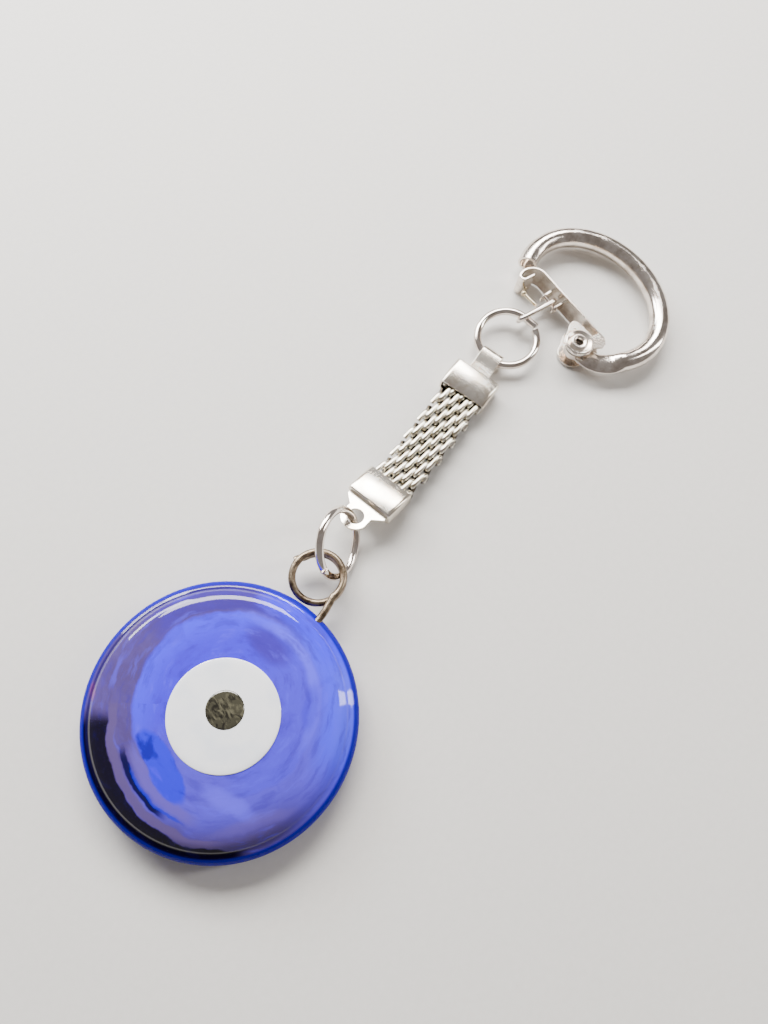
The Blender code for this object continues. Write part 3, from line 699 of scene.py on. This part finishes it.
def spline(points, steps=8):
    """Points on a smooth curve through the given ones."""
    padded = [points[0]] + points + [points[-1]]
    made = []
    for a, b, c, d in zip(padded, padded[1:], padded[2:], padded[3:]):
        for i in range(steps):
            t = i / steps
            made.append(
                tuple(
                    0.5 * (
                        2 * q + (r - p) * t + (2 * p - 5 * q + 4 * r - s) * t * t
                        + (3 * q - p - 3 * r + s) * t ** 3
                    )
                    for p, q, r, s in zip(a, b, c, d)
                )
            )
    return made + [points[-1]]


def make_bead():
    """The glass in one turned shape, the white eye let into its dome and the raised pupil."""
    skirt = [(19.0, 0.0), (20.4, 0.2), (21.5, 0.85), (22.2, 1.8), (22.55, 3.0), (22.58, 4.1)]
    shoulder = [(22.35, 5.05), (21.9, 5.75), (21.45, 6.1)]
    shoulder += [(21.1, 6.25), (20.7, 6.5), (20.2, 6.95)]
    crown = [(r, dome_height(r)) for r in (19.3, 18.0, 16.0, 14.2)]
    outer = [(0.0, 0.0)] + spline(skirt + shoulder + crown)
    inner = [(r, dome_height(r)) for r in (13.0, 11.0, 9.0, 6.0, 3.0)] + [(0.0, BEAD_HEIGHT)]
    piece(
        "bead_glass", turned(outer + inner, BEAD_SIDES), Matrix.Identity(4), COBALT, "bead",
        ["glass_disc", "milky_layer"], angle=75,
    )
    r = WHITE_RADIUS - 0.06
    rim = [(r - 0.12, 7.6), (r, 8.0), (r, dome_height(r) + 0.02)]
    rim += [(r - 0.05, dome_height(r) + 0.09)]
    top = [(s, dome_height(s) + WHITE_LIFT) for s in (r - 0.16, 8.0, 6.5, 5.0, 3.5, 2.0)]
    piece(
        "eye_white", turned(rim + top + [(0.0, BEAD_HEIGHT + WHITE_LIFT)], 128, WHITE_CENTRE),
        Matrix.Identity(4), WHITE, "bead", ["white_eye"], angle=75,
    )
    drop = [(PUPIL_RADIUS, 8.8), (PUPIL_RADIUS, PUPIL_BASE)]
    for degrees in range(10, 91, 10):
        a = math.radians(degrees)
        radius = PUPIL_RADIUS * math.cos(a) ** 0.6 if degrees < 90 else 0.0
        drop.append((radius, PUPIL_BASE + PUPIL_RISE * math.sin(a)))
    piece(
        "eye_pupil", turned(drop, 72, PUPIL_CENTRE), Matrix.Identity(4), BLACK, "bead",
        ["pupil"], angle=75,
    )


def eyelet_path():
    turns = []
    steps = 150
    for i in range(steps + 1):
        angle = EYELET_START + (EYELET_END - EYELET_START) * i / steps
        a = math.radians(angle)
        drop = EYELET_PITCH * (angle - EYELET_START) / 360
        spread = EYELET_RADIUS + 0.8 * max(0.0, angle - 445) / 20
        turns.append(
            (
                EYELET_CENTRE[0] + spread * math.cos(a),
                EYELET_CENTRE[1] + spread * math.sin(a),
                EYELET_TOP - drop,
            )
        )
    tail, first = EYELET_TAIL_IN_GLASS, turns[0]
    lead = []
    for i in range(10):
        share = i / 10
        sag = -0.35 * math.sin(math.pi * share)
        x, y, z = (tail[k] + (first[k] - tail[k]) * share for k in range(3))
        lead.append((x, y + sag, z))
    return lead + turns


def make_eyelet():
    piece(
        "eyelet", swept(eyelet_path(), EYELET_WIRE / 2, 20), Matrix.Identity(4), BRONZE, "bead",
        ["eyelet_wire"], bevel=0.12, angle=50,
    )


# ---- rings and wires ----
def ring_shape(cut_at, burr=0.0):
    """A jump ring in its own XY plane, with its saw cut at cut_at."""
    steps = 120
    start = cut_at + RING_CUT / 2
    path = []
    for i in range(steps + 1):
        angle = math.radians(start + (360 - RING_CUT) * i / steps)
        spread = RING_RADIUS + burr * max(0.0, 1 - i / 5)
        path.append((spread * math.cos(angle), spread * math.sin(angle), 0))
    return swept(path, RING_WIRE / 2 + RING_SWELL, 24)


def make_lower_ring():
    low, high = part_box("lower_jump_ring")
    centre = (low + high) / 2
    radial = joint_at("tab_on_ring") - centre
    at = place(centre, radial, joint_axis("tab_on_ring"))
    piece(
        "lower_ring_wire", ring_shape(181.0), at, CHROME, "lower_ring",
        ["lower_jump_ring"], bevel=0.1, angle=50,
    )


def upper_ring_frame():
    """X leads from the tongue's curl across the ring, which lies in the XY plane."""
    start = joint_at("ring_in_tongue")
    return place(start, joint_at("link_on_ring") - start, joint_axis("ring_in_tongue"))


def make_upper_ring():
    at = upper_ring_frame()
    across = (joint_at("link_on_ring") - at.translation).cross(at.col[1].to_3d())
    across = across.normalized()
    x = at.col[1].to_3d().cross(across).normalized()
    centre = at.translation + x * RING_RADIUS * MM * (1 if x.dot(at.col[0].to_3d()) > 0 else -1)
    flat = place(centre, centre - at.translation, at.col[1].to_3d())
    piece(
        "upper_ring_wire", ring_shape(-31.0, 0.55), flat, CHROME, "upper_ring",
        ["upper_jump_ring"], bevel=0.1, angle=50,
    )


def make_link():
    """An oval of wire that leans on its side, round the ring's wire and the gate's pin."""
    start, pin = joint_at("link_on_ring"), joint_at("gate_on_link")
    run = pin - start
    at = place(start, run, (0, 1, 0)) @ Matrix.Rotation(math.radians(LINK_LEAN), 4, "X")
    length = run.length / MM
    back = RING_WIRE / 2 + LINK_PLAY + LINK_WIRE / 2
    end = length + LINK_PIN_RADIUS + LINK_PLAY + LINK_WIRE / 2
    r = LINK_HALF_HEIGHT
    far = [(end - r + x, 0, z) for x, z in arc(r, -90, 90, 20)]
    near = [(x - back + r, 0, z) for x, z in arc(r, 90, 270, 20)]
    piece(
        "link_wire", swept(far + near, LINK_WIRE / 2, 20, closed=True), at, CHROME, "link",
        ["connector_link"],
    )


# ---- clamps ----
def sleeve_shape(mouth, facing):
    """A folded sheet sleeve with round corners, open at mouth, closed by a turned-in end."""
    half_w, half_h, corner = CLAMP_WIDTH / 2, CLAMP_HEIGHT / 2, 0.75

    def section(inset):
        w, h, r = half_w - inset, half_h - inset, max(0.2, corner - inset)
        made = []
        corners = ((w - r, r - h, -90), (w - r, h - r, 0), (r - w, h - r, 90), (r - w, r - h, 180))
        for cy, cz, start in corners:
            made += arc(r, start, start + 90, 6, (cy, cz))
        return made

    back = mouth - facing * CLAMP_LENGTH
    rows = [
        (0.45, back), (0.12, back + facing * 0.04), (0.0, back + facing * 0.3),
        (0.0, mouth - facing * 0.1), (0.08, mouth), (CLAMP_SHEET, mouth),
        (CLAMP_SHEET, back + facing * 0.5),
    ]
    verts, faces = [], []
    count = len(section(0.0))
    for inset, x in rows:
        verts += [(x, y, z) for y, z in section(inset)]
    for n in range(len(rows) - 1):
        for i in range(count):
            j = (i + 1) % count
            quad = (n * count + i, n * count + j, (n + 1) * count + j, (n + 1) * count + i)
            faces.append(quad if facing > 0 else quad[::-1])
    first = tuple(range(count))
    last = tuple(range((len(rows) - 1) * count, len(rows) * count))
    faces += [first[::-1] if facing > 0 else first, last if facing > 0 else last[::-1]]
    return verts, faces


def make_lower_clamp():
    start = joint_at("tab_on_ring")
    at = place(start, joint_at("strap_bend_01") - start, joint_axis("strap_bend_01"))
    mouth = TAB_PULL + TAB_LENGTH + CLAMP_LENGTH
    step = mouth - CLAMP_LENGTH
    half = CLAMP_WIDTH / 2 - 0.5
    outline = (
        [(step + 1.5, -half), (step + 1.5, half), (step - 0.2, half)]
        + arc(0.7, 90, 160, 5, (step - 0.3, half - 0.7))
        + [(step - 1.5, half - 1.9)]
        + arc(TAB_NOSE_RADIUS, 105, 255, 24, (TAB_PULL, 0))
        + [(step - 1.5, 1.9 - half)]
        + arc(0.7, 200, 270, 5, (step - 0.3, 0.7 - half))
        + [(step - 0.2, -half)]
    )
    hole = (TAB_PULL, 0.0)
    top = pierced(outline, hole, TAB_HOLE_RADIUS, 0.08, 0.46)
    under = moved(pierced(outline, hole, TAB_HOLE_RADIUS + 0.05, -0.42, -0.06), 0.15)
    piece(
        "lower_clamp_sleeve", sleeve_shape(mouth, 1), at, SHEET, "lower_clamp",
        ["lower_clamp"], bevel=0.05, angle=60,
    )
    piece(
        "lower_clamp_tab", joined(top, under), at, SHEET, "lower_clamp",
        bevel=0.07, angle=50,
    )


def make_upper_clamp():
    start = joint_at("strap_bend_11")
    across = joint_axis("strap_bend_11")
    at = place(start, across.cross(Vector((0, 0, 1))), across)
    mouth = ROW_PITCH / 2 - ROW_IN_CLAMP
    eye = (joint_at("ring_in_tongue").z - start.z) / MM
    inner = RING_WIRE / 2 + TONGUE_CURL_GAP
    middle = inner + TONGUE_SHEET / 2
    reach = mouth + TONGUE_REACH
    line = (
        [(mouth + CLAMP_LENGTH - 0.6, eye + 0.95), (reach - 3.2, eye + 0.95)]
        + [(reach - 2.4, eye + 1.0), (reach - 1.4, eye + middle - 0.06)]
        + arc(middle, 85, -90, 22, (reach, eye))
        + arc(middle, -95, -150, 6, (reach, eye))
        + [(reach - 2.2, eye - 0.35), (reach - 3.2, eye - 0.2)]
        + [(mouth + CLAMP_LENGTH - 0.6, eye - 0.2)]
    )
    strip = sheet_strip(line, TONGUE_SHEET, -TONGUE_WIDTH / 2, TONGUE_WIDTH / 2)
    tongue = [(x, -y, z) for x, z, y in strip[0]], strip[1]
    piece(
        "upper_clamp_sleeve", sleeve_shape(mouth, -1), at, SHEET, "upper_clamp",
        ["upper_clamp"], bevel=0.05, angle=60,
    )
    piece(
        "upper_clamp_tongue", tongue, at, SHEET, "upper_clamp",
        bevel=0.08, angle=50,
    )


# ---- strap ----
def coil_path(row):
    """One flattened coil across the strap; alternate rows start half a turn on."""
    steps = 28
    tuck = 5
    points = []
    for i in range(-tuck, ROW_TURNS * steps - tuck + 1):
        turn = math.tau * i / steps + math.pi * (row % 2)
        c, s = math.cos(turn), math.sin(turn)
        points.append(
            (
                COIL_LENGTH / 2 * math.copysign(abs(c) ** COIL_SQUARENESS, c),
                TURN_PITCH * (max(0, i) / steps - ROW_TURNS / 2 + TURN_LEAN * c),
                COIL_HEIGHT / 2 * math.copysign(abs(s) ** COIL_SQUARENESS, s),
            )
        )
    return points


def row_frame(row):
    """The frame of a row's own centre, between the bend before it and the bend after it."""
    if row == 0:
        clamp = joint_at("tab_on_ring")
        bend = joint_at("strap_bend_01")
        at = place(clamp, bend - clamp, joint_axis("strap_bend_01"))
        return at @ Matrix.Translation(((bend - clamp).length - ROW_PITCH / 2 * MM, 0, 0))
    across = joint_axis(f"strap_bend_{row:02d}")
    here = joint_at(f"strap_bend_{row:02d}")
    if row < ROW_COUNT - 1:
        onward = joint_at(f"strap_bend_{row + 1:02d}") - here
    else:
        onward = across.cross(Vector((0, 0, 1)))
    return place(here, onward, across) @ Matrix.Translation((ROW_PITCH / 2 * MM, 0, 0))


def make_strap():
    """A coil for each row; its "height" attribute tells where on the wire the painted shade lies,
    at the bottom of the coil.
    """
    for row in range(ROW_COUNT):
        body = {0: "lower_clamp", ROW_COUNT - 1: "upper_clamp"}.get(row, f"strap_{row:02d}")
        path = coil_path(row)
        shape = swept(path, [(MESH_WIRE_WIDTH, MESH_WIRE_DEPTH)] * len(path), 12, up=(0, 0, 1))
        made = piece(
            f"mesh_row_{row:02d}", shape, row_frame(row), MESH, body,
            [f"strap_row_{row:02d}"],
        )
        depth = made.data.attributes.new("height", "FLOAT", "POINT")
        depth.data.foreach_set("value", [z / COIL_HEIGHT + 0.5 for _, _, z in shape[0]])


# ---- snap key ring ----
def snap_frame():
    return flat_frame(0, 0, SNAP_HEIGHT)


def gate_ear(pivot, joined_up_to):
    """Plan outline of one ear and the plate that joins it to the wall, up to the given y."""
    inside_x = GATE_OUTER_X - 0.05
    return (
        arc(EAR_RADIUS, 118, 298, 40, pivot)
        + [(98.9, 14.2), (100.0, 14.5), (inside_x, GATE_LOW_Y), (inside_x, joined_up_to)]
        + [(98.95, joined_up_to + 0.4)]
        + spline([(98.85, 20.6), (98.6, 21.7), (97.8, 22.2), (96.7, 21.9), (95.5, 21.1)], 5)
    )


def make_gate():
    """One wall on edge with a curled hook, an ear at its top and bottom, and two lugs."""
    low, high = -GATE_HALF_HEIGHT, GATE_HALF_HEIGHT
    t = GATE_SHEET
    middle_x = GATE_OUTER_X - t / 2
    pin = joint_at("gate_on_link") / MM
    pivot = joint_at("shackle_snap") / MM
    centre = (pivot.x, pivot.y)
    line = (
        [(middle_x, y) for y in (GATE_LOW_Y, 17.0, 20.0, 24.0, 28.0, 32.0)]
        + arc(middle_x - HOOK_CENTRE[0], 0, HOOK_END, 30, HOOK_CENTRE)
        + arc(CURL_RADIUS, HOOK_END + 15, 262, 16, CURL_CENTRE)
        + [LIP_END]
    )
    shapes = [
        sheet_strip(line, t, low, high),
        pierced(gate_ear(centre, BOTTOM_EAR_JOIN_Y), centre, RIVET_RADIUS, low, low + t),
        pierced(gate_ear(centre, TOP_EAR_JOIN_Y), centre, RIVET_RADIUS, high - t, high - 0.02),
    ]
    for y in (pin.y - LUG_OFFSET, pin.y + LUG_OFFSET):
        nose = arc(LUG_HALF_HEIGHT, 90, 270, 14, (LUG_REACH_X + 0.6, 0))
        outline = nose + [(middle_x, -LUG_HALF_HEIGHT), (middle_x, LUG_HALF_HEIGHT)]
        flat = pierced(outline, (pin.x, 0), 0.42, y - t / 2, y + t / 2, 24)
        shapes.append(([(a, c, -b) for a, b, c in flat[0]], flat[1]))
    piece(
        "gate_channel", joined(*shapes), snap_frame(), PLATE, "gate",
        ["gate"], bevel=0.09, angle=50,
    )
    boss = [(2.6, 0.0), (2.75, 0.1), (2.65, 0.24), (2.45, 0.26), (2.3, 0.1), (RIVET_RADIUS, 0.06)]
    piece(
        "gate_boss", moved(turned(boss, 64, centre), z=high - 0.04), snap_frame(), PLATE, "gate",
        angle=60,
    )


def make_link_pin():
    pin = joint_at("gate_on_link") / MM
    path = [
        (pin.x, pin.y + y, 0) for y in (-LINK_PIN_HALF_LENGTH, 0.0, LINK_PIN_HALF_LENGTH)
    ]
    piece(
        "link_pin_bar", swept(path, LINK_PIN_RADIUS, 20), snap_frame(), CHROME, "gate",
        ["link_pin"], bevel=0.1, angle=50,
    )


def make_keeper():
    route = spline(
        [(96.6, 34.6, 2.8), (95.9, 34.2, 2.8), (95.45, 33.5, 2.8), (95.5, 30.0, 3.0)], 8
    )
    ball = [(0.0, -KEEPER_BALL)] + arc(KEEPER_BALL, -80, 80, 16) + [(0.0, KEEPER_BALL)]
    shape = joined(
        swept(route, KEEPER_WIRE / 2, 16), moved(turned(ball, 28, (95.45, 33.65)), z=2.8)
    )
    piece(
        "keeper_wire_bar", shape, Matrix.Identity(4), BRASS, "gate",
        ["keeper_wire"], bevel=0.05, angle=50,
    )


def make_rivet():
    """A hollow rivet, its ends rolled out over the two ears."""
    pivot = joint_at("shackle_snap") / MM
    top = GATE_HALF_HEIGHT
    roll = arc(RIVET_ROLL, -150, 90, 10, (1.42, top + 0.14))
    inside = [(0.95, top + 0.4), (0.75, top + 0.2), (RIVET_BORE, top - 0.2)]
    profile = roll + inside
    mirrored = [(r, -z) for r, z in profile[::-1]]
    shape = turned(mirrored + profile, 64, (pivot.x, pivot.y))
    piece(
        "hollow_rivet", (shape[0], [f[::-1] for f in shape[1]]), snap_frame(), PLATE, "gate",
        ["hinge_rivet"], angle=60,
    )


def make_spring():
    pivot = joint_at("shackle_snap") / MM
    base = SNAP_HEIGHT + TAIL_HALF_HEIGHT + 0.1 + SPRING_WIRE / 2
    coil = []
    for i in range(97):
        a = math.radians(-60 + 720 * i / 96)
        x, y = pivot.x + SPRING_RADIUS * math.cos(a), pivot.y + SPRING_RADIUS * math.sin(a)
        coil.append((x, y, base + SPRING_RISE * i / 96))
    first, last = coil[0], coil[-1]
    path = [(first[0] - 2.2, first[1] - 1.6, first[2])] + coil
    path.append((last[0] + 2.6, last[1] + 2.4, last[2]))
    piece(
        "spring_coil", swept(path, SPRING_WIRE / 2, 12), Matrix.Identity(4), SPRING, "gate",
        ["gate_spring"],
    )


def make_shackle():
    """A bent tube, sawn off at its free end and flattened into an eye at the pivot."""
    pivot = joint_at("shackle_snap") / MM
    bend = []
    for i in range(121):
        a = math.radians(SHACKLE_FREE_END + (SHACKLE_PIVOT_END - SHACKLE_FREE_END) * i / 120)
        bend.append(
            (
                SHACKLE_CENTRE[0] + SHACKLE_HALF_LENGTH * math.cos(a),
                SHACKLE_CENTRE[1] + SHACKLE_HALF_WIDTH * math.sin(a),
                0,
            )
        )
    tail = [(x, y, 0) for x, y in SHACKLE_TAIL]
    crimp = spline([bend[-1]] + tail, 8)[1:]
    path = bend + crimp
    sizes = [(SHACKLE_TUBE, SHACKLE_TUBE)] * len(bend)
    for i in range(len(crimp)):
        flat = min(1.0, (i + 1) / 11)
        flat = flat * flat * (3 - 2 * flat)
        sizes.append(
            (
                SHACKLE_TUBE + (TAIL_HALF_WIDTH - SHACKLE_TUBE) * flat,
                SHACKLE_TUBE + (TAIL_HALF_HEIGHT - SHACKLE_TUBE) * flat,
            )
        )
    wall = SHACKLE_TUBE - SHACKLE_BORE
    tube = swept(path, sizes, 40, bore=wall, up=(0, 0, 1))
    plug = swept(bend[3:5], SHACKLE_BORE + 0.05, 40)
    eye = arc(TAIL_EYE_RADIUS, 0, 360, 47, (pivot.x, pivot.y))[:-1]
    blade = pierced(eye, (pivot.x, pivot.y), RIVET_RADIUS, -TAIL_HALF_HEIGHT, TAIL_HALF_HEIGHT)
    piece(
        "shackle_tube", joined(tube, plug, blade), snap_frame(), WORN, "shackle",
        ["shackle"], bevel=0.08, angle=50,
    )


# ---- camera, floor and lights ----
def add_camera():
    lens = bpy.data.cameras.new("camera")
    lens.sensor_fit = "VERTICAL"
    lens.sensor_height = 36.0
    lens.lens = CAMERA_LENS
    lens.clip_start = 0.01
    made = bpy.data.objects.new("camera", lens)
    bpy.context.scene.collection.objects.link(made)
    view = Vector(CAMERA_VIEW).normalized()
    right = view.cross(Vector(CAMERA_UP)).normalized()
    turn = Matrix((right, right.cross(view), -view)).transposed().to_4x4()
    made.matrix_world = Matrix.Translation(Vector(CAMERA_PLACE) * MM) @ turn
    bpy.context.scene.camera = made


def add_panel(name, place_mm, target_mm, size, watts, colour):
    data = bpy.data.lights.new(name, "AREA")
    data.shape = "RECTANGLE"
    data.size, data.size_y = size[0] * MM, size[1] * MM
    data.energy = watts
    data.color = colour
    made = bpy.data.objects.new(name, data)
    bpy.context.scene.collection.objects.link(made)
    made.location = Vector(place_mm) * MM
    aim = (Vector(target_mm) - Vector(place_mm)).normalized()
    made.rotation_mode = "QUATERNION"
    made.rotation_quaternion = aim.to_track_quat("-Z", "Y")


def add_stage():
    size = 3.0
    mesh = bpy.data.meshes.new("floor")
    mesh.from_pydata(
        [(-size, -size, 0), (size, -size, 0), (size, size, 0), (-size, size, 0)], [], [(0, 1, 2, 3)]
    )
    g = Graph("floor_look")
    grain = g.noise(1.2, 3, 0.5).outputs["Fac"]
    tone = g.mix(grain, linear("d9d6d1"), linear("e2dfda"))
    mesh.materials.append(
        g.finish(Base_Color=tone, Roughness=0.65, Normal=g.bump(grain, 0.15, 0.05))
    )
    floor = bpy.data.objects.new("floor", mesh)
    bpy.context.scene.collection.objects.link(floor)


def add_lights():
    middle = (55.0, 12.0, 3.0)
    u, v = Vector((*U, 0)), Vector((*V, 0))
    overhead = Vector(middle) + v * 400 - u * 70 + Vector((0, 0, 400))
    window = Vector(middle) + v * 330 - u * 330 + Vector((0, 0, 230))
    right = Vector(middle) + u * 430 + v * 60 + Vector((0, 0, 260))
    add_panel("overhead", overhead, middle, (520, 230), 9.0, (1.0, 0.98, 0.96))
    add_panel("window", window, middle, (260, 150), 3.0, (0.96, 0.98, 1.0))
    add_panel("right", right, middle, (60, 380), 1.2, (1.0, 0.98, 0.95))
    world = bpy.data.worlds.new("studio")
    world.use_nodes = True
    world.node_tree.nodes["Background"].inputs["Color"].default_value = (0.3, 0.28, 0.27, 1)
    world.node_tree.nodes["Background"].inputs["Strength"].default_value = 0.9
    bpy.context.scene.world = world


add_camera()
add_stage()
add_lights()
make_bead()
make_eyelet()
make_lower_ring()
make_lower_clamp()
make_strap()
make_upper_clamp()
make_upper_ring()
make_link()
make_gate()
make_link_pin()
make_keeper()
make_rivet()
make_spring()
make_shackle()
